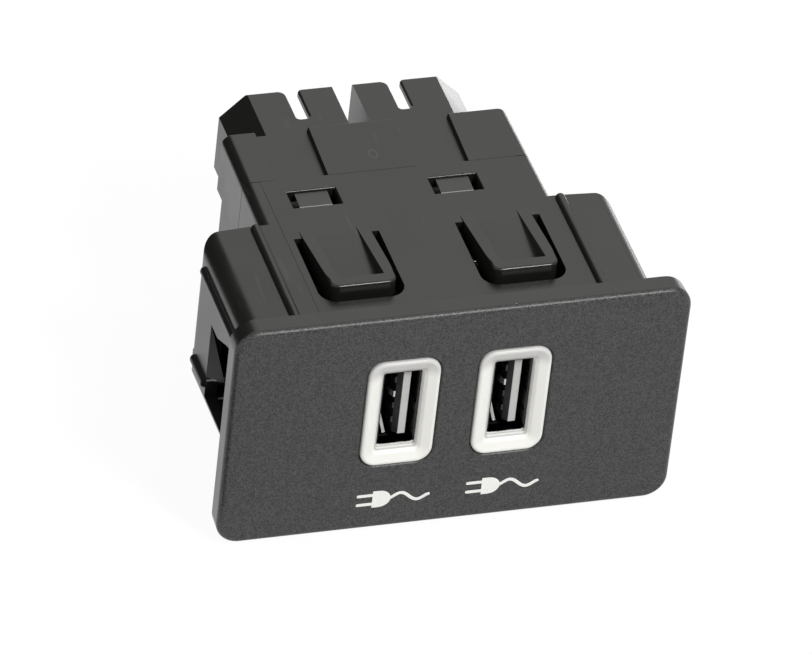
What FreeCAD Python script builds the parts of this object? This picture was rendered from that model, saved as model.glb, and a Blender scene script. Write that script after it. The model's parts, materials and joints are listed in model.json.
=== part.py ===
# Media hub with two upright charging and data ports, millimetres.
# +X runs along the bezel, -Y is the side the user sees, +Z is up.
# The origin is the centre of the bezel's rear face, where it seats on the panel.
# All sizes below are measured from the middle of the body, and the finished
# shapes are moved sideways once, so that the bezel's middle is the origin.
import FreeCAD
import Part
import math
import os

V = FreeCAD.Vector

# Bezel.
BEZEL_WIDTH = 66.5
BEZEL_HEIGHT = 37.2
BEZEL_THICK = 3.5
BEZEL_CORNER = 3.5
BEZEL_DRAFT = 0.2           # each side loses this much towards the rear
BEZEL_EDGE = 0.8            # rounding of the front edge
BEZEL_X = 0.3               # the bezel's middle, measured from the middle of the body

# Housing body behind the bezel.
WALL = 1.8
BODY_TOP = 15.5
BODY_BOTTOM = -10.0
WIDE_HALF = 30.2
WIDE_DEPTH = 24.2
WIDE_CORNER = 2.7
WING_FALL_RUN = 7.3         # over this width up to the side each wing's face falls away
WING_FALL = 0.42
WIDE_REAR_CORNER = 2.4
NARROW_HALF_FRONT = 21.85
NARROW_HALF_SEAM = 21.34
NARROW_CORNER = 1.5
SEAM_Y = 34.0
CAVITY_HALF = 19.5
BEAD_RADIUS = 0.75
BEAD_X = 22.45
SIDE_BEAD_Z = (11.2, -4.8)
SIDE_BEAD_REAR = (20.6, 21.2)
TOP_STEP_X = 18.85          # the top between these lines stands a hair higher
TOP_STEP = 0.05

# Side windows of the wide part.
SIDE_WINDOW_REAR = 15.7
SIDE_WINDOW_FRONT = 2.0
SIDE_WINDOW_BOTTOM = -7.2
SIDE_WINDOW_TOP_REAR = 5.55
SIDE_WINDOW_TOP_FRONT = 9.6
SIDE_WINDOW_BEND = (12.6, 8.5)      # the top edge starts to rise here, and is steepest from here
SIDE_WINDOW_BEND_TOP = 7.4
UPPER_SHELF_TOP = -4.0
LOWER_SHELF_TOP = -7.5
SHELF_THICK = 1.0
SHELF_REACH = 0.5           # the shelves stand this far in front of the window's rear edge
SHELF_EDGE = 0.15           # chamfer along their front edge
GUSSET_RUN = (2.4, 1.2)             # inwards and forwards from the window's rear edge

# Spring latches on the top and the underside.
LATCH_CENTRES = (-11.55, 12.1)
SLOT_HALF = 6.25
SLOT_FRONT = 5.4
SLOT_REAR = 20.3
SLOT_CORNER = 2.6
TONGUE_HALF_REAR = 5.0
TONGUE_HALF_FRONT = 4.8
TONGUE_FRONT = 6.4
RAIL_START = 22.0
RAIL_WIDTH = 1.5
LIP_THICK = 1.9
LIP_RISE = 2.0

# Snap windows and the hooks of the cover that sit in them.
SNAP_CENTRES = (-12.2, 8.65)
SNAP_WINDOW_WIDTH = 7.1
SNAP_WINDOW_Y = (27.35, 31.1)
SNAP_WINDOW_RIM = 0.25       # rounding of the window's outer rim
SNAP_ARM_WIDTH = 4.8
SNAP_ARM_THICK = 1.2
SNAP_ARM_GAP = 0.1
HOOK_FRONT_GAP = 0.15        # clearances of the hook in its window
HOOK_REAR_GAP = 0.08
HOOK_NOSE = 0.45            # length of the hook's steep front
HOOK_SLOPE = 0.22           # its top rises this much towards the rear
HOOK_RISE = 1.45
HOOK_EDGE = 0.3

# Rear cover.
COVER_HALF_REAR = 21.18
COVER_REAR = 45.6
COVER_REAR_LOW = 42.7
COVER_STEP_Z = 6.1
COVER_LOW_TOP = 14.6
COVER_LOW_AREAS = ((-16.4, -8.75), (4.4, 12.1))
COVER_LOW_LEAN = 0.39        # the right wall of each low area runs off this much by the rear
COVER_LOW_FOOT = 0.18        # that wall's foot stands this much further in
SEAM_GROOVE = 0.12
SEAM_GROOVE_DEPTH = 0.35
SHROUD_REAR = 56.9
SHROUD_INNER_X = 1.55
SHROUD_OUTER_X = 18.0
SHROUD_TOP = 13.7
SHROUD_BOTTOM = 1.1
SHROUD_CHAMFER_X = 14.15
SHROUD_CHAMFER_Z = 9.95
SHROUD_WALL = 1.0
SHROUD_SLOT_X = 7.65
SHROUD_SLOT_WIDTH = 1.9
SHROUD_SLOT_LENGTH = 6.9
SHROUD_SLOT_CORNER = 0.6
SHROUD_SLOT_EDGE = 0.4        # rounding of the slot's upper edges
PRONG_CORNERS = (1.2, 0.6)    # of the prongs left and right of a slot

# Ports.
PORT_X = 8.1
PORT_Z = 1.93
RING_WIDTH = 10.5
RING_HEIGHT = 18.1
RING_CORNER = 2.4
RING_PROUD = 0.28
RING_DISH = 0.95            # depth of the dished face down to the opening
RING_SHOULDER = (1.25, 0.48)    # the dish is shallow at first: width and depth of that part
RING_LIP = 0.18             # level band between the dish and the opening
RING_LIP_EDGE = 0.1
RING_OPEN_WIDTH = 5.7
RING_OPEN_HEIGHT = 13.3
RING_FLAT = 0.5             # width of the band round the dish
RING_GAP = 0.15             # clearance of the ring in the bezel
FLANGE_MARGIN = 1.35
FLANGE_MARGIN_Z = 0.6
FLANGE_THICK = 1.4
STAKE_X = 5.75              # posts that hold the flange, from the port's middle
STAKE_Z = 8.95
STAKE_RADIUS = 0.45
LEG_X = 4.45                # legs that lead the light, from the port's middle
LEG_HALF = 0.8
LEG_Y = (5.4, 7.0)
LEG_GAP = 0.1               # between a leg and the lamp under it
LAMP_HEIGHT = 0.8
SHELL_FRONT = -2.4
SHELL_LENGTH = 14.2
SHELL_SHEET = 0.3
SHELL_INNER_WIDTH = 5.12
SHELL_INNER_HEIGHT = 12.5
SIDE_SPRING = ((-2.7, -0.3), (-1.4, -5.1))  # x and z of the blade's two ends
SIDE_SPRING_Y = (-1.3, 1.2)
SIDE_SPRING_THICK = 0.42
TONGUE_FACE_Y = -1.3
TONGUE_LEFT = -0.05
TONGUE_RIGHT = 1.8
TONGUE_HEIGHT = 11.1
TONGUE_ROOT_Y = 7.4
CONTACT_OFFSETS = (3.5, 1.0, -1.0, -3.5)
CONTACT_SHEET = 0.22
CONTACT_WIDTH = 1.0

# Circuit board and what it carries.
BOARD_TOP = -5.0
BOARD_THICK = 1.6
BOARD_HALF = CAVITY_HALF - 0.6
BOARD_FRONT = 2.0
BOARD_REAR = 40.4
LEDGE_WIDTH = 1.9
BOARD_GAP = 0.05
PIN = 0.64
PIN_PITCH = 2.54
PIN_CENTRE_X = 9.75
PIN_TIP = 53.5
HEADER_Y = (35.0, 38.8)
TAIL_BELOW_BOARD = 0.8


def port_x(side):
    """Middle of the left (-1) or right (1) port."""
    return BEZEL_X + side * PORT_X


def box(x0, x1, y0, y1, z0, z1):
    return Part.makeBox(x1 - x0, y1 - y0, z1 - z0, V(x0, y0, z0))


def fuse(shapes):
    whole = shapes[0]
    for shape in shapes[1:]:
        whole = whole.fuse(shape)
    return whole.removeSplitter()


def one_solid(shape):
    """The single solid of a shape that should hold exactly one."""
    solids = shape.Solids
    if len(solids) != 1:
        raise ValueError("expected one solid, found %d" % len(solids))
    return solids[0]


def rounded_wire(half_x, z0, z1, radius, y, centre_x=0.0):
    """Rounded rectangle in the plane of constant y."""
    x0, x1 = centre_x - half_x, centre_x + half_x
    c = radius * (1.0 - math.sqrt(0.5))
    edges = [
        Part.LineSegment(V(x0 + radius, y, z0), V(x1 - radius, y, z0)),
        Part.Arc(V(x1 - radius, y, z0), V(x1 - c, y, z0 + c), V(x1, y, z0 + radius)),
        Part.LineSegment(V(x1, y, z0 + radius), V(x1, y, z1 - radius)),
        Part.Arc(V(x1, y, z1 - radius), V(x1 - c, y, z1 - c), V(x1 - radius, y, z1)),
        Part.LineSegment(V(x1 - radius, y, z1), V(x0 + radius, y, z1)),
        Part.Arc(V(x0 + radius, y, z1), V(x0 + c, y, z1 - c), V(x0, y, z1 - radius)),
        Part.LineSegment(V(x0, y, z1 - radius), V(x0, y, z0 + radius)),
        Part.Arc(V(x0, y, z0 + radius), V(x0 + c, y, z0 + c), V(x0 + radius, y, z0)),
    ]
    return Part.Wire([e.toShape() for e in edges])


def rounded_bar(half_x, z0, z1, radius, y0, y1, centre_x=0.0):
    """Bar along y with a rounded rectangular section."""
    face = Part.Face(rounded_wire(half_x, z0, z1, radius, y0, centre_x))
    return face.extrude(V(0, y1 - y0, 0))


def tapered_bar(wire_a, wire_b):
    return Part.makeLoft([wire_a, wire_b], True, True)


def prism(points, direction):
    """Straight prism over a closed polygon of points."""
    corners = [V(*p) for p in points]
    wire = Part.makePolygon(corners + [corners[0]])
    return Part.Face(wire).extrude(V(*direction))


def flat_slot(x0, x1, y0, y1, radius, z0, z1):
    """Upright block whose two front corners are rounded."""
    c = radius * (1.0 - math.sqrt(0.5))
    edges = [
        Part.LineSegment(V(x0, y1, z0), V(x0, y0 + radius, z0)),
        Part.Arc(V(x0, y0 + radius, z0), V(x0 + c, y0 + c, z0), V(x0 + radius, y0, z0)),
        Part.LineSegment(V(x0 + radius, y0, z0), V(x1 - radius, y0, z0)),
        Part.Arc(V(x1 - radius, y0, z0), V(x1 - c, y0 + c, z0), V(x1, y0 + radius, z0)),
        Part.LineSegment(V(x1, y0 + radius, z0), V(x1, y1, z0)),
        Part.LineSegment(V(x1, y1, z0), V(x0, y1, z0)),
    ]
    face = Part.Face(Part.Wire([e.toShape() for e in edges]))
    return face.extrude(V(0, 0, z1 - z0))


def flipped(shape):
    """The same shape on the underside of the body."""
    middle = (BODY_TOP + BODY_BOTTOM) / 2.0
    return shape.mirror(V(0, 0, middle), V(0, 0, 1))


def round_bead(x, z, y0, y1):
    """Half-sunk round bead along y with a ball at its rear end."""
    rod = Part.makeCylinder(BEAD_RADIUS, y1 - y0, V(x, y0, z), V(0, 1, 0))
    ball = Part.makeSphere(BEAD_RADIUS, V(x, y1, z))
    return rod.fuse(ball)


def edges_near(shape, test):
    """Edges whose every vertex and middle point pass a test."""
    found = []
    for edge in shape.Edges:
        middle = edge.valueAt((edge.FirstParameter + edge.LastParameter) / 2.0)
        points = [v.Point for v in edge.Vertexes] + [middle]
        if all(test(p) for p in points):
            found.append(edge)
    return found


# The housing is one moulding: bezel, body, beads, latches and board ledges.

def bezel_plate():
    half = BEZEL_WIDTH / 2.0
    top = BEZEL_HEIGHT / 2.0
    front = rounded_wire(half, -top, top, BEZEL_CORNER, -BEZEL_THICK, BEZEL_X)
    rear = rounded_wire(
        half - BEZEL_DRAFT, -top + BEZEL_DRAFT, top - BEZEL_DRAFT, BEZEL_CORNER - BEZEL_DRAFT, 0.0,
        BEZEL_X,
    )
    plate = tapered_bar(front, rear)
    rim = edges_near(plate, lambda p: p.y < -BEZEL_THICK + 0.01)
    plate = plate.makeFillet(BEZEL_EDGE, rim)
    for side in (-1, 1):
        plate = plate.cut(port_hole(side))
    return plate


def port_hole(side):
    """Hole for a light guide, very slightly flared at the front."""
    half = RING_WIDTH / 2.0 + RING_GAP
    tall = RING_HEIGHT / 2.0 + RING_GAP
    radius = RING_CORNER + RING_GAP
    flare = 0.25
    x = port_x(side)
    y0 = -BEZEL_THICK
    straight = rounded_bar(half, PORT_Z - tall, PORT_Z + tall, radius, y0 - 1.0, 1.0, x)
    wide = rounded_wire(
        half + flare, PORT_Z - tall - flare, PORT_Z + tall + flare, radius + flare, y0, x
    )
    narrow = rounded_wire(half, PORT_Z - tall, PORT_Z + tall, radius, y0 + flare, x)
    return straight.fuse(tapered_bar(wide, narrow))


def wide_section():
    """Wide front part of the body; its faces fall away towards both sides."""
    corners = []
    for sx, sz in ((-1, 1), (1, 1), (1, -1), (-1, -1)):
        face = BODY_TOP if sz > 0 else BODY_BOTTOM
        inner = (sx * (WIDE_HALF - WING_FALL_RUN), -0.5, face)
        outer = (sx * WIDE_HALF, -0.5, face - sz * WING_FALL)
        corners += [outer, inner] if sx == -sz else [inner, outer]
    bar = prism(corners, (0, WIDE_DEPTH + 0.5, 0))
    long_edges = [
        e for e in bar.Edges
        if abs(e.tangentAt(e.FirstParameter).y) > 0.9 and abs(e.Vertexes[0].Point.x) > WIDE_HALF - 0.01
    ]
    return bar.makeFillet(WIDE_CORNER, long_edges)


def body_blank():
    wide = wide_section()
    plan = flat_slot(
        -WIDE_HALF, WIDE_HALF, -WIDE_DEPTH, 0.5, WIDE_REAR_CORNER, BODY_BOTTOM - 1, BODY_TOP + 1
    )
    wide = wide.common(plan.mirror(V(0, 0, 0), V(0, 1, 0)))
    narrow = tapered_bar(
        rounded_wire(NARROW_HALF_FRONT, BODY_BOTTOM, BODY_TOP, NARROW_CORNER, -0.5),
        rounded_wire(NARROW_HALF_SEAM, BODY_BOTTOM, BODY_TOP, NARROW_CORNER, SEAM_Y),
    )
    plateau = box(-TOP_STEP_X, TOP_STEP_X, -0.5, SEAM_Y, BODY_TOP - 0.5, BODY_TOP + TOP_STEP)
    parts = [wide, narrow, plateau, flipped(plateau)]
    for side in (-1, 1):
        bead = round_bead(side * BEAD_X, BODY_TOP, -0.5, WIDE_DEPTH - BEAD_RADIUS)
        parts += [bead, flipped(bead)]
        for z, rear in zip(SIDE_BEAD_Z, SIDE_BEAD_REAR):
            parts.append(round_bead(side * WIDE_HALF, z, -0.5, rear))
    return fuse(parts)


def body_hollows():
    low = BODY_BOTTOM + WALL
    high = BODY_TOP - WALL
    hollows = [box(-CAVITY_HALF, CAVITY_HALF, 0.0, SEAM_Y + 1.0, low, high)]
    wing_in = CAVITY_HALF + WALL + 0.1
    wing_out = WIDE_HALF - WALL
    for side in (-1, 1):
        xs = sorted((side * wing_in, side * wing_out))
        hollows.append(box(xs[0], xs[1], 0.0, WIDE_DEPTH - WALL, low, high))
        hollows.append(side_window(side))
    return hollows


def side_window(side):
    x_in = side * (WIDE_HALF - WALL - 0.5)
    profile = [
        (x_in, SIDE_WINDOW_FRONT, SIDE_WINDOW_BOTTOM),
        (x_in, SIDE_WINDOW_REAR, SIDE_WINDOW_BOTTOM),
        (x_in, SIDE_WINDOW_REAR, SIDE_WINDOW_TOP_REAR),
        (x_in, SIDE_WINDOW_BEND[0], SIDE_WINDOW_TOP_REAR),
        (x_in, SIDE_WINDOW_BEND[1], SIDE_WINDOW_BEND_TOP),
        (x_in, SIDE_WINDOW_FRONT, SIDE_WINDOW_TOP_FRONT),
    ]
    return prism(profile, (side * 4.0, 0, 0))


def wing_ribs(side):
    """Slanted gusset and two shelves at the rear edge of a side window."""
    x_out = side * (WIDE_HALF - WALL + 0.2)
    x_skin = side * (WIDE_HALF - 0.02)
    y0 = SIDE_WINDOW_REAR
    run_in, run_forward = GUSSET_RUN
    gusset = prism(
        [
            (x_skin, y0, SIDE_WINDOW_TOP_REAR),
            (x_skin, y0, UPPER_SHELF_TOP - 0.2),
            (x_skin - side * run_in, y0 - run_forward, UPPER_SHELF_TOP - 0.2),
        ],
        (0, 2.4, 0),
    )
    x_in = side * (CAVITY_HALF + WALL)
    y1 = WIDE_DEPTH - WALL + 0.2
    ribs = [gusset]
    for top, x_end in ((UPPER_SHELF_TOP, x_skin), (LOWER_SHELF_TOP, x_out)):
        profile = [
            (x_in, y0 - SHELF_REACH, top - SHELF_THICK),
            (x_in, y0 - SHELF_REACH, top - SHELF_EDGE),
            (x_in, y0 - SHELF_REACH + SHELF_EDGE, top),
            (x_in, y1, top),
            (x_in, y1, top - SHELF_THICK),
        ]
        ribs.append(prism(profile, (x_end - x_in, 0, 0)))
    return ribs


def latch_slot(centre):
    return flat_slot(
        centre - SLOT_HALF, centre + SLOT_HALF, SLOT_FRONT, SLOT_REAR, SLOT_CORNER,
        BODY_TOP - WALL - 1.0, BODY_TOP + 1.0,
    )


def latch_tongue(centre):
    """Spring tongue: web level with the top, rails that rise to a front lip."""
    base = BODY_TOP - WALL
    crest = BODY_TOP + LIP_RISE
    outline = prism(
        [
            (centre - TONGUE_HALF_REAR, SLOT_REAR + 0.5, base),
            (centre + TONGUE_HALF_REAR, SLOT_REAR + 0.5, base),
            (centre + TONGUE_HALF_FRONT, TONGUE_FRONT, base),
            (centre - TONGUE_HALF_FRONT, TONGUE_FRONT, base),
        ],
        (0, 0, crest - base),
    )
    upright = edges_near(outline, lambda p: p.y < TONGUE_FRONT + 0.01)
    upright = [e for e in upright if abs(e.tangentAt(e.FirstParameter).z) > 0.9]
    outline = outline.makeFillet(1.3, upright)
    ramp_profile = [
        (centre - 9.0, TONGUE_FRONT - 1.0, base),
        (centre - 9.0, TONGUE_FRONT - 1.0, crest),
        (centre - 9.0, TONGUE_FRONT + LIP_THICK, crest),
        (centre - 9.0, RAIL_START, BODY_TOP + TOP_STEP),
        (centre - 9.0, RAIL_START + 4.0, BODY_TOP + TOP_STEP),
        (centre - 9.0, RAIL_START + 4.0, base),
    ]
    tongue = outline.common(prism(ramp_profile, (18.0, 0, 0)))
    web_half = TONGUE_HALF_FRONT - RAIL_WIDTH
    pocket = prism(
        [
            (centre - web_half, TONGUE_FRONT + LIP_THICK, BODY_TOP - 0.35),
            (centre - web_half, TONGUE_FRONT + LIP_THICK, crest + 1.0),
            (centre - web_half, RAIL_START + 4.0, crest + 1.0),
            (centre - web_half, RAIL_START + 4.0, BODY_TOP + TOP_STEP),
            (centre - web_half, SLOT_REAR, BODY_TOP + TOP_STEP),
        ],
        (2 * web_half, 0, 0),
    )
    tongue = tongue.cut(pocket)
    rim = edges_near(
        tongue, lambda p: p.z > crest - 0.01 and p.y < TONGUE_FRONT + 0.8 * LIP_THICK
    )
    tongue = tongue.makeFillet(0.4, rim)
    rails = latch_rail_roots(centre, web_half)
    return [tongue] + rails


def latch_rail_roots(centre, web_half):
    """Rails run on a little past the slot and fade into the top face."""
    roots = []
    base = BODY_TOP - 0.3
    rise = LIP_RISE - TOP_STEP
    run = RAIL_START - (TONGUE_FRONT + LIP_THICK)
    z_at_slot = BODY_TOP + TOP_STEP + rise * (RAIL_START - SLOT_REAR - 0.4) / run
    for side in (-1, 1):
        x0 = centre + side * web_half
        x1 = centre + side * TONGUE_HALF_REAR
        xs = sorted((x0, x1))
        profile = [
            (xs[0], SLOT_REAR + 0.4, base),
            (xs[0], SLOT_REAR + 0.4, z_at_slot),
            (xs[0], RAIL_START, BODY_TOP + TOP_STEP),
            (xs[0], RAIL_START, base),
        ]
        roots.append(prism(profile, (xs[1] - xs[0], 0, 0)))
    return roots


def snap_window(centre):
    half = SNAP_WINDOW_WIDTH / 2.0
    y0, y1 = SNAP_WINDOW_Y
    return box(centre - half, centre + half, y0, y1, BODY_TOP - WALL - 1.0, BODY_TOP + 1.0)


def board_ledges():
    ledges = []
    z0 = BODY_BOTTOM + WALL - 0.2
    z1 = BOARD_TOP - BOARD_THICK
    for side in (-1, 1):
        xs = sorted((side * (CAVITY_HALF - LEDGE_WIDTH), side * (CAVITY_HALF + 0.2)))
        ledges.append(box(xs[0], xs[1], BOARD_FRONT, SEAM_Y - 1.5, z0, z1))
        stop = box(xs[0], xs[1], -0.2, BOARD_FRONT, z0, BOARD_TOP + 1.0)
        ledges.append(stop)
        hold = box(xs[0], xs[1], 6.0, 12.0, BOARD_TOP + BOARD_GAP, BOARD_TOP + 1.6)
        ledges.append(hold)
    return ledges


def stake_points(side):
    return [
        (port_x(side) + sx * STAKE_X, PORT_Z + sz * STAKE_Z) for sx in (-1, 1) for sz in (-1, 1)
    ]


def flange_stakes():
    """Small posts behind the bezel whose heads hold the light guides."""
    posts = []
    for side in (-1, 1):
        for x, z in stake_points(side):
            post = Part.makeCylinder(STAKE_RADIUS, FLANGE_THICK + 0.6, V(x, -0.2, z), V(0, 1, 0))
            head = Part.makeCylinder(0.8, 0.5, V(x, FLANGE_THICK, z), V(0, 1, 0))
            posts += [post, head]
    return posts


def front_housing():
    body = body_blank()
    for hollow in body_hollows():
        body = body.cut(hollow)
    for centre in LATCH_CENTRES:
        slot = latch_slot(centre)
        body = body.cut(slot).cut(flipped(slot))
    for centre in SNAP_CENTRES:
        window = snap_window(centre)
        body = body.cut(window).cut(flipped(window))
    parts = [body, bezel_plate()]
    for centre in LATCH_CENTRES:
        for piece in latch_tongue(centre):
            parts += [piece, flipped(piece)]
    for side in (-1, 1):
        parts += wing_ribs(side)
    parts += board_ledges()
    parts += flange_stakes()
    whole = fuse(parts)
    for side in (-1, 1):
        whole = whole.cut(port_hole(side))
    whole = one_solid(whole)
    return one_solid(whole.makeFillet(SNAP_WINDOW_RIM, snap_window_rims(whole)))


def snap_window_rims(shape):
    """Outer edges of all four snap windows."""
    picked = []
    half = SNAP_WINDOW_WIDTH / 2.0 + 0.01
    y0, y1 = SNAP_WINDOW_Y
    for centre in SNAP_CENTRES:
        for level in (BODY_TOP + TOP_STEP, BODY_BOTTOM - TOP_STEP):
            picked += edges_near(
                shape,
                lambda p: abs(p.z - level) < 0.01 and abs(p.x - centre) < half
                and y0 - 0.01 < p.y < y1 + 0.01,
            )
    return picked


# The rear cover: cup, two plug shrouds and four snap arms in one moulding.

def shroud_blank(side, inset, y0, y1):
    """Plug shroud section, drawn inwards by an inset."""
    k = inset * (math.sqrt(2.0) - 1.0)
    pts = [
        (side * (SHROUD_INNER_X + inset), SHROUD_BOTTOM + inset),
        (side * (SHROUD_INNER_X + inset), SHROUD_TOP - inset),
        (side * (SHROUD_CHAMFER_X - k), SHROUD_TOP - inset),
        (side * (SHROUD_OUTER_X - inset), SHROUD_CHAMFER_Z - k),
        (side * (SHROUD_OUTER_X - inset), SHROUD_BOTTOM + inset),
    ]
    return prism([(x, y0, z) for x, z in pts], (0, y1 - y0, 0))


def shroud_slot(side):
    """Slot in a shroud's top wall, open to the rear."""
    half = SHROUD_SLOT_WIDTH / 2.0
    x = side * SHROUD_SLOT_X
    z0 = SHROUD_TOP - SHROUD_WALL - 0.5
    return flat_slot(
        x - half, x + half, SHROUD_REAR - SHROUD_SLOT_LENGTH, SHROUD_REAR + 1.0,
        SHROUD_SLOT_CORNER, z0, SHROUD_TOP + 1.0,
    )


def soften_shroud_top(shroud, side):
    """Round the upright corners of the prongs, then the slot's upper edges."""
    half = SHROUD_SLOT_WIDTH / 2.0
    x = side * SHROUD_SLOT_X
    for place, radius in zip((x - half, x + half), PRONG_CORNERS):
        corner = [
            e for e in edges_near(shroud, lambda p: p.y > SHROUD_REAR - 0.01 and p.z > 11.0)
            if abs(e.tangentAt(e.FirstParameter).z) > 0.99
            and abs(e.Vertexes[0].Point.x - place) < 0.02
        ]
        shroud = shroud.makeFillet(radius, corner)
    front = SHROUD_REAR - SHROUD_SLOT_LENGTH
    reach = half + max(PRONG_CORNERS)
    rim = [
        e for e in edges_near(shroud, lambda p: p.z > SHROUD_TOP - 0.01 and p.y > front - 0.01)
        if max(abs(v.Point.x - x) for v in e.Vertexes) < reach + 0.01
        and min(abs(v.Point.x - x) for v in e.Vertexes) < half + 0.01
    ]
    return shroud.makeFillet(SHROUD_SLOT_EDGE, rim)


def pin_places(side):
    """Column x values and row z values of the plug pins on one side."""
    if side < 0:
        count, rows = 5, (7.4,)
    else:
        count, rows = 4, (7.2, 4.4)
    first = side * PIN_CENTRE_X - (count - 1) * PIN_PITCH / 2.0
    return [first + i * PIN_PITCH for i in range(count)], rows


def seam_groove():
    """Fine groove round the cover where it meets the housing."""
    y0, y1 = SEAM_Y - 0.1, SEAM_Y + SEAM_GROOVE
    d = SEAM_GROOVE_DEPTH
    around = box(-30, 30, y0, y1, BODY_BOTTOM - 1, BODY_TOP + 1)
    inside = rounded_bar(
        NARROW_HALF_SEAM - d, BODY_BOTTOM + d, BODY_TOP - d, NARROW_CORNER - d, y0 - 1, y1 + 1
    )
    return around.cut(inside)


def rear_cover():
    low = BODY_BOTTOM + WALL
    cup = tapered_bar(
        rounded_wire(NARROW_HALF_SEAM, BODY_BOTTOM, BODY_TOP, NARROW_CORNER, SEAM_Y),
        rounded_wire(COVER_HALF_REAR, BODY_BOTTOM, BODY_TOP, NARROW_CORNER, COVER_REAR),
    )
    corners = edges_near(cup, lambda p: p.y > COVER_REAR - 0.01)
    cup = cup.makeFillet(0.3, corners)
    cup = cup.cut(seam_groove())
    cup = cup.cut(box(-30, 30, COVER_REAR_LOW, COVER_REAR + 1, BODY_BOTTOM - 1, COVER_STEP_Z))
    for x0, x1 in COVER_LOW_AREAS:
        sections = []
        for y, shift in ((SEAM_Y, 0.0), (COVER_REAR + 1, COVER_LOW_LEAN)):
            foot = x1 + shift - COVER_LOW_FOOT
            crest = foot + COVER_LOW_FOOT * (BODY_TOP + 1 - COVER_LOW_TOP) / (BODY_TOP - COVER_LOW_TOP)
            sections.append(Part.makePolygon([
                V(x0, y, COVER_LOW_TOP), V(foot, y, COVER_LOW_TOP), V(crest, y, BODY_TOP + 1),
                V(x0, y, BODY_TOP + 1), V(x0, y, COVER_LOW_TOP),
            ]))
        low_area = tapered_bar(*sections)
        cup = cup.cut(low_area)
    parts = [cup]
    for side in (-1, 1):
        shroud = shroud_blank(side, 0.0, COVER_REAR_LOW - 1.0, SHROUD_REAR)
        shroud = shroud.cut(shroud_blank(side, SHROUD_WALL, COVER_REAR, SHROUD_REAR + 1))
        shroud = shroud.cut(shroud_slot(side))
        parts.append(soften_shroud_top(shroud, side))
    cover = fuse(parts)
    ceiling = COVER_LOW_TOP - WALL
    half = COVER_HALF_REAR - WALL
    cover = cover.cut(box(-half, half, SEAM_Y - 1, COVER_REAR_LOW - WALL, low, ceiling))
    upper = box(-half, half, SEAM_Y - 1, COVER_REAR - WALL, COVER_STEP_Z - WALL, ceiling)
    cover = cover.cut(upper)
    for x0, x1 in ((-7.0, 2.6), (13.9, half - 0.4)):
        cover = cover.cut(
            box(x0, x1, SEAM_Y - 1, COVER_REAR - WALL, ceiling - 0.5, BODY_TOP - WALL)
        )
    for side in (-1, 1):
        columns, rows = pin_places(side)
        reach = PIN / 2.0 + 0.1
        for x in columns:
            for z in rows:
                y0, y1 = COVER_REAR_LOW - WALL - 1, COVER_REAR + 1
                cover = cover.cut(box(x - reach, x + reach, y0, y1, z - reach, z + reach))
    return one_solid(fuse([cover] + snap_arms() + board_keepers()))


def snap_arms():
    """Arms that slide inside the housing and hook into its snap windows."""
    arms = []
    half = SNAP_ARM_WIDTH / 2.0
    z1 = BODY_TOP - WALL - SNAP_ARM_GAP
    z0 = z1 - SNAP_ARM_THICK
    y0 = SNAP_WINDOW_Y[0] + HOOK_FRONT_GAP
    y1 = SNAP_WINDOW_Y[1] - HOOK_REAR_GAP
    top = BODY_TOP - WALL + HOOK_RISE
    for centre in SNAP_CENTRES:
        arm = box(centre - half, centre + half, y0 - 0.2, SEAM_Y + 1.0, z0, z1)
        hook = prism(
            [
                (centre - half, y0, z0 + 0.2),
                (centre - half, y0, z1),
                (centre - half, y0 + HOOK_NOSE, top - HOOK_SLOPE),
                (centre - half, y1, top),
                (centre - half, y1, z0 + 0.2),
            ],
            (SNAP_ARM_WIDTH, 0, 0),
        )
        crest = edges_near(hook, lambda p: p.z > z1 + 0.01 and p.y < y1 - 0.01)
        whole = arm.fuse(hook.makeFillet(HOOK_EDGE, crest))
        root = box(centre - half, centre + half, SEAM_Y, SEAM_Y + 1.0, z1 - 0.5, z1 + 0.2)
        arms += [whole, flipped(whole), flipped(root)]
        arms.append(box(centre - half, centre + half, SEAM_Y, SEAM_Y + 1.0, z0 - 0.6, z1))
    return arms


def board_keepers():
    """Two ribs of the cover that stop the board from sliding back."""
    keepers = []
    low = BODY_BOTTOM + WALL - 0.2
    for x in (-17.0, 17.0):
        keepers.append(
            box(x - 0.8, x + 0.8, BOARD_REAR, COVER_REAR_LOW - WALL + 0.2, low, BOARD_TOP + 2.0)
        )
    return keepers


# Light guides: dished ring, flange behind the bezel and two legs to the lamps.

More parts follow.
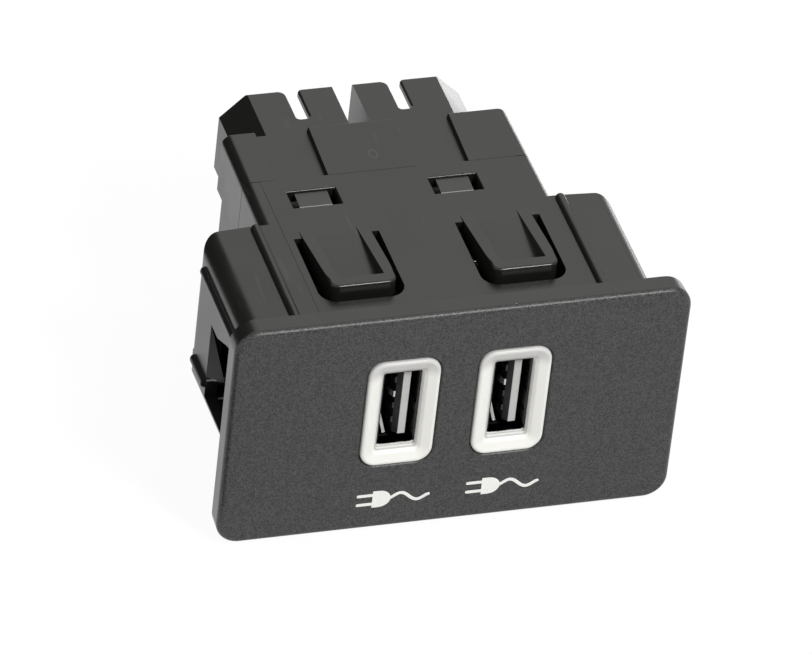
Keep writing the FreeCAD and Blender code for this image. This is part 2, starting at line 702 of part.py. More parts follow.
def light_guide(side):
    x = port_x(side)
    front = -BEZEL_THICK - RING_PROUD
    half = RING_WIDTH / 2.0
    tall = RING_HEIGHT / 2.0
    ring = rounded_bar(half, PORT_Z - tall, PORT_Z + tall, RING_CORNER, front, 0.2, x)
    rim = edges_near(ring, lambda p: p.y < front + 0.01)
    ring = ring.makeFillet(0.45, rim)
    flange = rounded_bar(
        half + FLANGE_MARGIN, PORT_Z - tall - FLANGE_MARGIN_Z, PORT_Z + tall + FLANGE_MARGIN_Z,
        1.5, 0.0, FLANGE_THICK, x,
    )
    for px, pz in stake_points(side):
        hole = Part.makeCylinder(STAKE_RADIUS + 0.1, FLANGE_THICK + 1, V(px, -0.5, pz), V(0, 1, 0))
        flange = flange.cut(hole)
    legs = []
    for sign in (-1, 1):
        cx = x + sign * LEG_X
        z0 = BOARD_TOP + LAMP_HEIGHT + LEG_GAP
        legs.append(
            box(cx - LEG_HALF, cx + LEG_HALF, FLANGE_THICK - 0.2, LEG_Y[1], z0, z0 + 2.4)
        )
    guide = fuse([ring, flange] + legs)
    open_half = RING_OPEN_WIDTH / 2.0
    open_tall = RING_OPEN_HEIGHT / 2.0
    guide = guide.cut(
        rounded_bar(open_half, PORT_Z - open_tall, PORT_Z + open_tall, 0.35, front - 1, 9.0, x)
    )
    step, drop = RING_SHOULDER
    rings = []
    for inset, depth in ((RING_FLAT, 0.0), (RING_FLAT + step, drop)):
        rings.append(rounded_wire(
            half - inset, PORT_Z - tall + inset, PORT_Z + tall - inset, max(RING_CORNER - inset, 0.5),
            front + depth, x,
        ))
    rings.append(rounded_wire(
        open_half + RING_LIP, PORT_Z - open_tall - RING_LIP, PORT_Z + open_tall + RING_LIP, 0.5,
        front + RING_DISH, x,
    ))
    dish = tapered_bar(rings[0], rings[1]).fuse(tapered_bar(rings[1], rings[2]))
    guide = guide.cut(dish)
    lip = edges_near(
        guide, lambda p: abs(p.y - front - RING_DISH) < 0.01 and abs(p.x - x) < open_half + 0.01
        and abs(p.z - PORT_Z) < open_tall + 0.01
    )
    guide = guide.makeFillet(RING_LIP_EDGE, lip)
    shell_half = SHELL_INNER_WIDTH / 2.0 + SHELL_SHEET + 0.05
    shell_tall = SHELL_INNER_HEIGHT / 2.0 + SHELL_SHEET + 0.05
    guide = guide.cut(
        rounded_bar(
            shell_half, PORT_Z - shell_tall, PORT_Z + shell_tall, 0.6, SHELL_FRONT, 9.0, x
        )
    )
    return one_solid(guide)


# Port shells: folded sheet tube with bent-in springs and board legs.

def spring_finger(point, inward, along, bend):
    """Thin sheet finger bent inwards from its rear root."""
    px, pz = point
    dx, dz = inward
    wx, wz = along
    y0, y1 = 3.4, 0.2
    half = 0.75
    t = 0.2
    pts = []
    for y, d in ((y0, -0.1), (y0, t - 0.1), (y1, bend + t), (y1 - 0.5, bend + t - 0.12)):
        pts.append((y, d))
    for y, d in ((y1 - 0.5, bend - 0.12), (y1, bend)):
        pts.append((y, d))
    corners = [(px + dx * d - wx * half, y, pz + dz * d - wz * half) for y, d in pts]
    return prism(corners, (wx * 2 * half, 0, wz * 2 * half))


def finger_places():
    """Root point, inward direction, width direction and bend of every spring."""
    half = SHELL_INNER_WIDTH / 2.0
    tall = SHELL_INNER_HEIGHT / 2.0
    return [
        ((-half, 3.1), (1, 0), (0, 1), 0.62),
        ((-1.1, tall), (0, -1), (1, 0), 0.62),
        ((-1.1, -tall), (0, 1), (1, 0), 0.3),
    ]


def side_spring(x):
    """Blade that leaves the left wall and leans inwards towards its lower end."""
    (ax, az), (bx, bz) = SIDE_SPRING
    lean = V(bx - ax, 0, bz - az).normalize()
    side = V(-lean.z, 0, lean.x) * (SIDE_SPRING_THICK / 2.0)
    y0, y1 = SIDE_SPRING_Y
    a = V(x + ax, y0, PORT_Z + az)
    b = V(x + bx, y0, PORT_Z + bz)
    corners = [tuple(p) for p in (a - side, b - side, b + side, a + side)]
    blade = prism(corners, (0, y1 - y0, 0))
    tip = [
        e for e in blade.Edges
        if abs(e.tangentAt(e.FirstParameter).y) > 0.9 and e.Vertexes[0].Point.z < b.z + 0.2
    ]
    return blade.makeFillet(0.15, tip)


def port_shell(side):
    x = port_x(side)
    rear = SHELL_FRONT + SHELL_LENGTH
    half = SHELL_INNER_WIDTH / 2.0
    tall = SHELL_INNER_HEIGHT / 2.0
    t = SHELL_SHEET
    tube = rounded_bar(half + t, PORT_Z - tall - t, PORT_Z + tall + t, 0.55, SHELL_FRONT, rear, x)
    tube = tube.cut(
        rounded_bar(half, PORT_Z - tall, PORT_Z + tall, 0.3, SHELL_FRONT - 1, rear + 1, x)
    )
    springs = [side_spring(x)]
    for (fx, fz), (dx, dz), (wx, wz), bend in finger_places():
        px, pz = x + fx, PORT_Z + fz
        reach = 0.95
        cx0, cx1 = sorted((px - dx * 1.0 - wx * reach, px + dx * 0.5 + wx * reach))
        cz0, cz1 = sorted((pz - dz * 1.0 - wz * reach, pz + dz * 0.5 + wz * reach))
        tube = tube.cut(box(cx0, cx1, -0.6, 3.2, cz0, cz1))
        springs.append(spring_finger((px, pz), (dx, dz), (wx, wz), bend))
    legs = []
    for sx in (-1, 1):
        for y in (4.2, 10.4):
            xs = sorted((x + sx * half, x + sx * (half + t)))
            z0 = BOARD_TOP - BOARD_THICK - TAIL_BELOW_BOARD
            legs.append(box(xs[0], xs[1], y - 0.7, y + 0.7, z0, PORT_Z - tall + 1.0))
    return one_solid(fuse([tube] + springs + legs))


def contact_paths():
    """Height and tail position of each contact, the lowest one in front."""
    return [(z, 13.4 + i * 1.1) for i, z in enumerate(sorted(CONTACT_OFFSETS))]


def port_contact(side, z_off, tail_y):
    """Flat spring strip along the tongue with a bowed tip and a board tail."""
    x = port_x(side)
    z = PORT_Z + z_off
    x1 = x + TONGUE_LEFT
    x0 = x1 - CONTACT_SHEET
    half = CONTACT_WIDTH / 2.0
    outer = [
        (x0, 3.4), (x1 - 0.62, 1.7), (x1 - 0.8, 0.95), (x1 - 0.66, 0.15), (x1 - 0.22, -0.5),
        (x1, -0.6), (x1, -0.36), (x1 - 0.14, -0.3), (x1 - 0.47, 0.3), (x1 - 0.57, 0.95),
        (x1 - 0.42, 1.6), (x1, 3.0), (x1, 3.4),
    ]
    tip = prism([(px, py, z - half) for px, py in outer], (0, 0, CONTACT_WIDTH))
    strip = box(x0, x1, 3.3, tail_y + 0.25, z - half, z + half)
    bottom = BOARD_TOP - BOARD_THICK - TAIL_BELOW_BOARD
    tail = box(x0, x1, tail_y - 0.25, tail_y + 0.25, bottom, z + half)
    return one_solid(fuse([tip, strip, tail]))


def port_contacts(side):
    return [port_contact(side, z, y) for z, y in contact_paths()]


def port_insulator(side):
    """Tongue and rear block moulded round the contacts."""
    x = port_x(side)
    half = SHELL_INNER_WIDTH / 2.0 - 0.02
    tall = SHELL_INNER_HEIGHT / 2.0 - 0.02
    z0 = PORT_Z - TONGUE_HEIGHT / 2.0
    tongue = prism(
        [
            (x + TONGUE_LEFT + 0.75, TONGUE_FACE_Y, z0),
            (x + TONGUE_RIGHT - 0.12, TONGUE_FACE_Y, z0),
            (x + TONGUE_RIGHT, TONGUE_FACE_Y + 0.12, z0),
            (x + TONGUE_RIGHT, TONGUE_ROOT_Y + 0.5, z0),
            (x + TONGUE_LEFT, TONGUE_ROOT_Y + 0.5, z0),
            (x + TONGUE_LEFT, TONGUE_FACE_Y + 0.7, z0),
        ],
        (0, 0, TONGUE_HEIGHT),
    )
    rear = SHELL_FRONT + SHELL_LENGTH
    block = rounded_bar(half, PORT_Z - tall, PORT_Z + tall, 0.32, TONGUE_ROOT_Y, rear + 0.2, x)
    last = contact_paths()[-1][1]
    hood = box(x - half, x + half, rear, last + 1.2, BOARD_TOP, PORT_Z + tall)
    foot_top = PORT_Z - SHELL_INNER_HEIGHT / 2.0 - SHELL_SHEET
    foot = box(x - half + 0.1, x + half - 0.1, FLANGE_THICK + 0.1, rear + 0.1, BOARD_TOP, foot_top)
    body = fuse([tongue, block, hood, foot])
    for contact in port_contacts(side):
        body = body.cut(contact)
    return one_solid(body)


# Circuit board with every hole its pins and tails need.

def lead_holes():
    holes = []
    z0, depth = BOARD_TOP - BOARD_THICK - 0.5, BOARD_THICK + 1.0
    for side in (-1, 1):
        x = port_x(side)
        for _, y in contact_paths():
            cx = x + TONGUE_LEFT - CONTACT_SHEET / 2.0
            holes.append(Part.makeCylinder(0.42, depth, V(cx, y, z0)))
        for sx in (-1, 1):
            for y in (4.2, 10.4):
                cx = x + sx * (SHELL_INNER_WIDTH + SHELL_SHEET) / 2.0
                holes.append(box(cx - 0.3, cx + 0.3, y - 0.85, y + 0.85, z0, z0 + depth))
        columns, rows = pin_places(side)
        for px in columns:
            for i in range(len(rows)):
                holes.append(Part.makeCylinder(0.55, depth, V(px, pin_row_y(i), z0)))
    return holes


def circuit_board():
    board = box(-BOARD_HALF, BOARD_HALF, BOARD_FRONT, BOARD_REAR, BOARD_TOP - BOARD_THICK, BOARD_TOP)
    return one_solid(board.cut(Part.makeCompound(lead_holes())))


def pin_row_y(index):
    """Board position of a pin row; the upper row stands in front."""
    return HEADER_Y[0] + 0.9 + index * 1.9


def plug_pin(x, z, y_board):
    half = PIN / 2.0
    bottom = BOARD_TOP - BOARD_THICK - TAIL_BELOW_BOARD
    upright = box(x - half, x + half, y_board - half, y_board + half, bottom, z + half)
    level = box(x - half, x + half, y_board - half, PIN_TIP, z - half, z + half)
    pin = upright.fuse(level).removeSplitter()
    tip = edges_near(pin, lambda p: p.y > PIN_TIP - 0.01)
    return one_solid(pin.makeChamfer(0.2, tip))


def plug_pins(side):
    columns, rows = pin_places(side)
    pins = []
    for i, z in enumerate(rows):
        for x in columns:
            pins.append(plug_pin(x, z, pin_row_y(i)))
    return pins


def pin_header(side):
    """Block that carries the angled pins above the board."""
    columns, rows = pin_places(side)
    x0, x1 = columns[0] - 1.5, columns[-1] + 1.5
    top = rows[0] + 1.3
    block = box(x0, x1, HEADER_Y[0], HEADER_Y[1], BOARD_TOP, top)
    for pin in plug_pins(side):
        block = block.cut(pin)
    return one_solid(block)


def chip(x, y, size_x, size_y, height):
    """Flat moulded package with small leads and a corner dimple."""
    z = BOARD_TOP
    body = box(x - size_x / 2, x + size_x / 2, y - size_y / 2, y + size_y / 2, z + 0.1, z + height)
    top = edges_near(body, lambda p: p.z > z + height - 0.01)
    body = body.makeChamfer(0.12, top)
    leads = []
    count = int((size_y - 1.0) / 0.8)
    for i in range(count):
        ly = y - (count - 1) * 0.4 + i * 0.8
        for sx in (-1, 1):
            lx = x + sx * (size_x / 2 + 0.25)
            leads.append(box(lx - 0.45, lx + 0.45, ly - 0.17, ly + 0.17, z, z + 0.3))
    dimple = Part.makeCylinder(
        0.35, 0.3, V(x - size_x / 2 + 0.9, y + size_y / 2 - 0.9, z + height - 0.1)
    )
    return one_solid(fuse([body] + leads).cut(dimple))


def inductor(x, y, size, height):
    z = BOARD_TOP
    core = box(x - size / 2, x + size / 2, y - size / 2, y + size / 2, z + 0.25, z + height)
    upright = [e for e in core.Edges if abs(e.tangentAt(e.FirstParameter).z) > 0.9]
    core = core.makeChamfer(0.9, upright)
    pads = [
        box(x + s * size / 2 - 0.9, x + s * size / 2 + 0.9, y - 1.4, y + 1.4, z, z + 0.9)
        for s in (-1, 1)
    ]
    return one_solid(fuse([core] + pads))


def can_capacitor(x, y, radius, height):
    z = BOARD_TOP
    base = box(x - radius - 0.2, x + radius + 0.2, y - radius - 0.2, y + radius + 0.2, z, z + 0.9)
    upright = [e for e in base.Edges if abs(e.tangentAt(e.FirstParameter).z) > 0.9]
    front = [e for e in upright if e.Vertexes[0].Point.y < y]
    base = base.makeChamfer(1.2, front)
    can = Part.makeCylinder(radius, height - 0.9, V(x, y, z + 0.9))
    top = edges_near(can, lambda p: p.z > z + height - 0.01)
    can = can.makeFillet(0.4, top)
    return one_solid(fuse([base, can]))


def small_block(x, y, size_x, size_y, height):
    """Ceramic part with a raised metal cap at each end."""
    z = BOARD_TOP
    body = box(x - size_x / 2, x + size_x / 2, y - size_y / 2, y + size_y / 2, z + 0.03, z + height)
    caps = []
    for s in (-1, 1):
        cx = x + s * (size_x / 2 - 0.2)
        caps.append(
            box(cx - 0.23, cx + 0.23, y - size_y / 2 - 0.03, y + size_y / 2 + 0.03,
                z, z + height + 0.03)
        )
    return one_solid(fuse([body] + caps))


def crystal(x, y):
    z = BOARD_TOP
    lid = box(x - 1.6, x + 1.6, y - 1.25, y + 1.25, z + 0.35, z + 0.8)
    upright = [e for e in lid.Edges if abs(e.tangentAt(e.FirstParameter).z) > 0.9]
    lid = lid.makeFillet(0.35, upright)
    base = box(x - 1.7, x + 1.7, y - 1.35, y + 1.35, z, z + 0.4)
    return one_solid(fuse([base, lid]))


def ring_lamps():
    lamps = []
    for side in (-1, 1):
        for sign in (-1, 1):
            x = port_x(side) + sign * LEG_X
            y = (LEG_Y[0] + LEG_Y[1]) / 2.0
            z = BOARD_TOP
            base = box(x - 0.8, x + 0.8, y - 0.45, y + 0.45, z, z + 0.35)
            lens = box(x - 0.55, x + 0.55, y - 0.45, y + 0.45, z + 0.3, z + LAMP_HEIGHT)
            lamps.append(one_solid(fuse([base, lens])))
    return lamps


# Where the parts on the board stand: x and y first, then their sizes.
HUB_CHIP = (-9.6, 25.0, 8.0, 8.0, 1.1)
POWER_CHIP = (3.6, 24.2, 4.6, 5.6, 1.3)
SURGE_CHIPS = ((-8.1, 19.4, 3.0, 2.6, 0.9), (13.6, 19.4, 3.0, 2.6, 0.9))
POWER_INDUCTOR = (12.0, 25.2, 7.2, 4.4)
BULK_CAPACITORS = ((-13.4, 32.1, 2.5, 5.6), (14.2, 31.8, 2.2, 5.6))
FUSE = (8.3, 31.6, 4.6, 3.2, 0.9)
CRYSTAL_PLACE = (-8.5, 31.0)
CERAMIC_SIZE = (1.6, 0.8, 0.8)
RESISTOR_SIZE = (1.6, 0.8, 0.45)
CERAMIC_PLACES = (
    (-3.0, 19.6), (-3.0, 21.4), (-3.0, 23.2), (6.4, 19.2), (8.4, 19.2), (10.4, 19.2),
    (-16.6, 20.4), (-16.6, 22.4), (-16.6, 24.4), (2.2, 31.8), (4.4, 31.8), (-8.4, 33.6),
)
RESISTOR_PLACES = (
    (-13.6, 15.2), (-13.6, 13.8), (-2.9, 15.2), (-2.9, 13.8), (2.9, 13.8), (2.9, 15.2),
    (14.0, 13.8), (14.0, 15.2), (-3.0, 26.6), (-3.0, 28.0), (-3.0, 29.4), (17.6, 28.0),
)

NODES = {
    "front_housing": lambda: [front_housing()],
    "rear_cover": lambda: [rear_cover()],
    "light_guide_left": lambda: [light_guide(-1)],
    "light_guide_right": lambda: [light_guide(1)],
    "port_shell_left": lambda: [port_shell(-1)],
    "port_shell_right": lambda: [port_shell(1)],
    "port_insulator_left": lambda: [port_insulator(-1)],
    "port_insulator_right": lambda: [port_insulator(1)],
    "port_contacts_left": lambda: port_contacts(-1),
    "port_contacts_right": lambda: port_contacts(1),
    "circuit_board": lambda: [circuit_board()],
    "hub_chip": lambda: [chip(*HUB_CHIP)],
    "power_chip": lambda: [chip(*POWER_CHIP)],
    "surge_chips": lambda: [chip(*place) for place in SURGE_CHIPS],
    "power_inductor": lambda: [inductor(*POWER_INDUCTOR)],
    "bulk_capacitors": lambda: [can_capacitor(*place) for place in BULK_CAPACITORS],
    "ceramic_capacitors": lambda: [small_block(x, y, *CERAMIC_SIZE) for x, y in CERAMIC_PLACES],
    "resistors": lambda: [small_block(x, y, *RESISTOR_SIZE) for x, y in RESISTOR_PLACES],
    "resettable_fuse": lambda: [small_block(*FUSE)],
    "clock_crystal": lambda: [crystal(*CRYSTAL_PLACE)],
    "ring_lamps": ring_lamps,
    "data_pin_header": lambda: [pin_header(-1)],
    "data_pins": lambda: plug_pins(-1),
    "power_pin_header": lambda: [pin_header(1)],
    "power_pins": lambda: plug_pins(1),
}

os.makedirs("parts", exist_ok=True)
for name, make in NODES.items():
    solids = make()
    for solid in solids:
        if not solid.isValid() or solid.Volume <= 0:
            raise ValueError("bad solid in " + name)
    shape = solids[0] if len(solids) == 1 else Part.makeCompound(solids)
    shape.translate(V(-BEZEL_X, 0, 0))
    shape.exportStep("parts/" + name + ".step")
    print(name, len(solids), "solids", round(sum(s.Volume for s in solids), 1), "mm3")
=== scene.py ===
"""Studio scene for a dashboard charging hub: camera, stage, lights, materials and surface detail.

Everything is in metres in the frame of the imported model: +X to the user's right, -Y towards
the user, +Z up, with the origin at the centre of the bezel's rear face.
"""
import json
import math

import bmesh
import bpy
from mathutils import Matrix, Vector


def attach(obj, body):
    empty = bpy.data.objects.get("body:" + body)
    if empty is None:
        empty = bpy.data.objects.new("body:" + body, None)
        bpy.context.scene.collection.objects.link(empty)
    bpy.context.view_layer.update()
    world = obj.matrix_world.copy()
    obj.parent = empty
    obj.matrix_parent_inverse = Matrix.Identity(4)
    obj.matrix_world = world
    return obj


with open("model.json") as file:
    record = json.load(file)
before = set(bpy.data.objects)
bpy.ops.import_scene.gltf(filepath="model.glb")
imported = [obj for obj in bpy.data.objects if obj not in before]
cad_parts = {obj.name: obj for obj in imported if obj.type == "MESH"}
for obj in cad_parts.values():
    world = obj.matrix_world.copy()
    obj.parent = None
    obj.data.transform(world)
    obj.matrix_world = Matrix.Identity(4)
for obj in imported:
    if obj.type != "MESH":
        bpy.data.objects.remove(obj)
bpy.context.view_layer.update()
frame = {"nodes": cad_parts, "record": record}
scene = bpy.context.scene
MM = 0.001


def mm(*values):
    """Millimetres given in metres."""
    return tuple(value * MM for value in values)


# The camera.
CAMERA_PLACE = Vector((-375.828, -980.465, 813.360)) * MM
CAMERA_RIGHT = Vector((0.954736, -0.282327, 0.093648))
CAMERA_UP = Vector((0.101563, 0.605319, 0.789477))
CAMERA_BACK = Vector((-0.279578, -0.744231, 0.606594))
CAMERA_LENS = 421.18
CAMERA_SENSOR = 36.0
CAMERA_CLIP = (0.05, 20.0)


def make_camera():
    """Long lens at the photograph's angle, rolled as the photograph is."""
    data = bpy.data.cameras.new("camera")
    data.sensor_fit = "HORIZONTAL"
    data.sensor_width = CAMERA_SENSOR
    data.lens = CAMERA_LENS
    data.clip_start, data.clip_end = CAMERA_CLIP
    camera = bpy.data.objects.new("camera", data)
    turn = Matrix((CAMERA_RIGHT, CAMERA_UP, CAMERA_BACK)).transposed().to_4x4()
    camera.matrix_world = Matrix.Translation(CAMERA_PLACE) @ turn
    scene.collection.objects.link(camera)
    scene.camera = camera


# Helpers that build node trees.
class Tree:
    """A small helper that adds nodes to a tree and joins them."""

    def __init__(self, tree):
        self.tree = tree
        tree.nodes.clear()

    def fill(self, socket, value):
        """Join a socket to another one, or set its value."""
        if isinstance(value, bpy.types.NodeSocket):
            self.tree.links.new(value, socket)
        else:
            socket.default_value = value

    def add(self, kind, inputs=None, **settings):
        """Add a node, set its properties, and fill its inputs with values or sockets."""
        node = self.tree.nodes.new(kind)
        for key, value in settings.items():
            setattr(node, key, value)
        for key, value in (inputs or {}).items():
            self.fill(node.inputs[key], value)
        return node

    def math(self, operation, a, b=0.0):
        """One sum on two numbers."""
        return self.add("ShaderNodeMath", {0: a, 1: b}, operation=operation).outputs[0]

    def ramp(self, value, low, high, to_low=0.0, to_high=1.0):
        """Map a value smoothly from one range to another."""
        node = self.add("ShaderNodeMapRange", {
            "Value": value, "From Min": low, "From Max": high,
            "To Min": to_low, "To Max": to_high}, interpolation_type="SMOOTHSTEP")
        return node.outputs["Result"]

    def band(self, value, start, end):
        """1 between two soft edges, 0 outside; each edge is a pair of values."""
        return self.math("MULTIPLY", self.ramp(value, *start), self.ramp(value, *end, 1.0, 0.0))

    def mix(self, factor, a, b):
        """Blend two colours."""
        node = self.add("ShaderNodeMix", data_type="RGBA")
        for socket, value in zip((node.inputs[0], node.inputs[6], node.inputs[7]), (factor, a, b)):
            self.fill(socket, value)
        return node.outputs[2]

    def noise(self, where, scale, detail=2.0, rough=0.5):
        """Cloudy noise, about 0.5 on average."""
        node = self.add("ShaderNodeTexNoise", {
            "Vector": where, "Scale": scale, "Detail": detail, "Roughness": rough})
        return node.outputs["Fac"]

    def place(self):
        """The point's place in the frame, in metres."""
        return self.add("ShaderNodeTexCoord").outputs["Object"]

    def apart(self, where):
        """The place's X, Y and Z."""
        return self.add("ShaderNodeSeparateXYZ", {0: where}).outputs

    def stretched(self, where, scale):
        """The place, scaled along each axis."""
        node = self.add("ShaderNodeMapping", {"Vector": where, "Scale": scale})
        return node.outputs["Vector"]

    def bump(self, height, distance, strength=1.0, normal=None):
        """The surface's direction, roughened by a height."""
        inputs = {"Height": height, "Distance": distance, "Strength": strength}
        if normal is not None:
            inputs["Normal"] = normal
        return self.add("ShaderNodeBump", inputs).outputs["Normal"]


def new_material(name):
    """A material with one shader, and the tree that feeds it."""
    material = bpy.data.materials.new(name)
    material.use_nodes = True
    tree = Tree(material.node_tree)
    shader = tree.add("ShaderNodeBsdfPrincipled")
    tree.add("ShaderNodeOutputMaterial", {"Surface": shader.outputs[0]})
    return material, tree, shader


def join(tree, shader, **sockets):
    """Feed the shader's colour, roughness, normal and metalness."""
    names = {"color": "Base Color", "rough": "Roughness", "normal": "Normal", "metal": "Metallic"}
    for key, value in sockets.items():
        tree.tree.links.new(value, shader.inputs[names[key]])


def grey(level, warm=0.0):
    """A grey, a little towards red where warm is above 0."""
    return (level * (1 + warm), level, level * (1 - warm), 1.0)


# Places that the finishes follow. A pair says where a soft edge starts and ends.
NOISE_RANGE = (0.3, 0.7)
TINY_BUMP = 0.000003

GATE_MARK_MIDDLE = mm(-1.36, 37.8)
GATE_MARK_HALF = mm(0.68, 1.1)
GATE_MARK_Z = mm(15.0, 15.2)
GATE_MARK_WOBBLE = 0.5
GATE_MARK_EDGES = ((0.85, 1.05), (1.15, 1.4))
GATE_MARK_SHARE = 0.6

GRAIN_Y = mm(-3.05, -2.85)
FACE_Y = mm(-3.46, -3.40)
# Where the painted light on the cover's snap hooks and the painted highlight on their noses lie.
HOOK_REAR_Y = mm(33.0, 33.1)
HOOK_NOSE_Y = mm(28.08, 28.16)

# Where the painted highlights on the side-window shelf edges lie.
SHELF_TOPS = mm(-4.0, -7.5)
SHELF_CHAMFER = 0.15 * MM
SHELF_HIGHLIGHT_Y = (mm(15.0, 15.1), mm(15.4, 15.47))

# Where the light guide carries painted shade: a line at the opening's lip and its top.
GUIDE_LIP_Y = (mm(-2.94, -2.90), mm(-2.80, -2.77))
GUIDE_TOP_Z = mm(7.4, 9.2)
GUIDE_BEHIND_Y = mm(-1.9, -1.7)
GUIDE_SOFT_EDGE = 0.4 * MM

# Where the painted light and shade on the port shell change.
SHELL_FRONT_Y = mm(-2.36, -2.26)
SHELL_LIP_Z = mm(-4.25, -4.15)
BLADE_LOW_Z = mm(-3.5, -3.4)
BLADE_HIGH_Z = mm(1.9, 2.0)
# Where the painted glint on one contact lies.
GLINT_CONTACT_Z = 2.93 * MM
GLINT_CONTACT_AWAY = mm(0.6, 0.8)
# Where the painted highlight on the tongue's front edge lies.
TONGUE_HIGHLIGHT_Y = mm(-1.28, -1.22)

# Colours and amounts of the black mouldings.
BLACKS = ((0.0095, 0.0099, 0.0092, 1), (0.0125, 0.0129, 0.0120, 1))
GRAIN_COLORS = ((0.013, 0.0135, 0.0135, 1), (0.053, 0.0545, 0.0545, 1))
GRAIN_CONTRAST = (0.40, 0.60)
GRAIN_HEIGHT = 0.00003
FACE_ROUGH = 0.47
FILLET_ROUGH = 0.38
BODY_ROUGH = (0.27, 0.33)
SCUFF_SHARE = 0.25
SCUFF_GREY = grey(0.045)
DUST_SHARE = 0.8
DUST_GREY = grey(0.30)
SHELF_HIGHLIGHT_GREY = grey(0.40)
# Painted light: the snap hooks are painted lighter than the black cover, and their front noses carry a
# painted highlight.
HOOK_PAINTED_LIGHT_GREYS = (grey(0.018), grey(0.036))
HOOK_NOSE_HIGHLIGHT_GREY = grey(0.30)


def gate_ring(tree, where):
    """The faint oval where the mould was fed, on the cover's top: 1 on the ring, 0 elsewhere."""
    x, y = GATE_MARK_MIDDLE
    half_x, half_y = GATE_MARK_HALF
    moved = tree.add("ShaderNodeVectorMath", {0: where, 1: (-x, -y, 0)}, operation="ADD")
    parts = tree.apart(moved.outputs[0])
    flat = tree.add("ShaderNodeCombineXYZ", {
        "X": tree.math("DIVIDE", parts["X"], half_x),
        "Y": tree.math("DIVIDE", parts["Y"], half_y)})
    length = tree.add("ShaderNodeVectorMath", {0: flat.outputs[0]}, operation="LENGTH")
    wobble = tree.math("MULTIPLY", tree.noise(where, 2200.0), GATE_MARK_WOBBLE)
    far = tree.math("ADD", length.outputs["Value"], wobble)
    ring = tree.band(far, *GATE_MARK_EDGES)
    return tree.math("MULTIPLY", ring, tree.ramp(parts["Z"], *GATE_MARK_Z))


def dust(tree, where):
    """A few tiny pale specks."""
    cells = tree.add("ShaderNodeTexVoronoi", {"Vector": where, "Scale": 170.0})
    speck = tree.ramp(cells.outputs["Distance"], 0.010, 0.018, 1.0, 0.0)
    return tree.math("MULTIPLY", speck, tree.ramp(tree.noise(where, 60.0, 1.0), 0.48, 0.52))


def scuffs(tree, where):
    """Faint short rubbed lines that run roughly from front to rear."""
    lines = tree.noise(tree.stretched(where, (1500.0, 110.0, 300.0)), 1.0, 1.0)
    patch = tree.ramp(tree.noise(where, 75.0, 1.0), 0.52, 0.6)
    return tree.math("MULTIPLY", tree.ramp(lines, 0.66, 0.72), patch)


def painted_shelf_highlights(tree, parts):
    """Painted highlights: pale lines along the front edges of the shelves in the side windows."""
    near = tree.band(parts["Y"], *SHELF_HIGHLIGHT_Y)
    level = 0.0
    for top in SHELF_TOPS:
        away = tree.math("ABSOLUTE", tree.math("SUBTRACT", parts["Z"], top - SHELF_CHAMFER / 2))
        line = tree.ramp(away, SHELF_CHAMFER / 2, SHELF_CHAMFER, 1.0, 0.0)
        level = tree.math("MAXIMUM", level, line)
    return tree.math("MULTIPLY", level, near)


def black_plastic(name, grained):
    """Satin black moulding. Grained is the housing, whose face has a fine sprayed grain and whose
    side-window shelf edges carry painted highlights; on the cover, the snap hooks carry painted light.
    """
    material, tree, shader = new_material(name)
    where = tree.place()
    parts = tree.apart(where)
    cloud = tree.noise(where, 90.0, 3.0)
    fine = tree.noise(where, 2600.0)
    color = tree.mix(cloud, *BLACKS)
    worn = tree.math("MULTIPLY", scuffs(tree, where), SCUFF_SHARE)
    if not grained:
        mark = tree.math("MULTIPLY", gate_ring(tree, where), GATE_MARK_SHARE)
        worn = tree.math("MAXIMUM", worn, mark)
    color = tree.mix(worn, color, SCUFF_GREY)
    color = tree.mix(tree.math("MULTIPLY", dust(tree, where), DUST_SHARE), color, DUST_GREY)
    rough = tree.ramp(cloud, *NOISE_RANGE, *BODY_ROUGH)
    normal = tree.bump(fine, TINY_BUMP)
    if grained:
        # Painted highlights along the shelf edges in the side windows.
        color = tree.mix(painted_shelf_highlights(tree, parts), color, SHELF_HIGHLIGHT_GREY)
        front = tree.ramp(parts["Y"], *GRAIN_Y, 1.0, 0.0)
        speck = tree.noise(where, 4800.0, 1.5, 0.6)
        broad = tree.noise(where, 2400.0, 2.0, 0.6)
        cells = tree.add("ShaderNodeTexVoronoi", {"Vector": where, "Scale": 5600.0})
        grain = tree.math("ADD", speck, tree.math("MULTIPLY", cells.outputs["Distance"], 0.5))
        light = tree.math("ADD", tree.math("MULTIPLY", speck, 0.6), tree.math("MULTIPLY", broad, 0.4))
        tint = tree.mix(tree.ramp(light, *GRAIN_CONTRAST), *GRAIN_COLORS)
        color = tree.mix(front, color, tint)
        face = tree.ramp(parts["Y"], *FACE_Y, FACE_ROUGH, FILLET_ROUGH)
        rough = tree.add("ShaderNodeMix", {0: front, 2: rough, 3: face}, data_type="FLOAT").outputs[0]
        normal = tree.bump(grain, GRAIN_HEIGHT, tree.math("MULTIPLY", front, 0.8), normal)
    else:
        # Painted light on the snap hooks, and a painted highlight on their front noses.
        hook_painted_light = tree.ramp(parts["Y"], *HOOK_REAR_Y, 1.0, 0.0)
        nose = tree.ramp(parts["Y"], *HOOK_NOSE_Y, 1.0, 0.0)
        color = tree.mix(hook_painted_light, color, tree.mix(cloud, *HOOK_PAINTED_LIGHT_GREYS))
        color = tree.mix(nose, color, HOOK_NOSE_HIGHLIGHT_GREY)
    join(tree, shader, color=color, rough=rough, normal=normal)
    return material


# Colours and amounts of the light guides.
GUIDE_WHITES = ((0.845, 0.84, 0.81, 1), (0.875, 0.87, 0.84, 1))
GUIDE_LIP_SHADE_GREY = grey(0.52, 0.02)
GUIDE_TOP_SHADE_GREY = grey(0.64, 0.01)
GUIDE_BEHIND_GREY = grey(0.02)
GUIDE_DEPTHS = (0.0012, 0.0011, 0.0009)
GUIDE_DEPTH_WEIGHT = 0.08


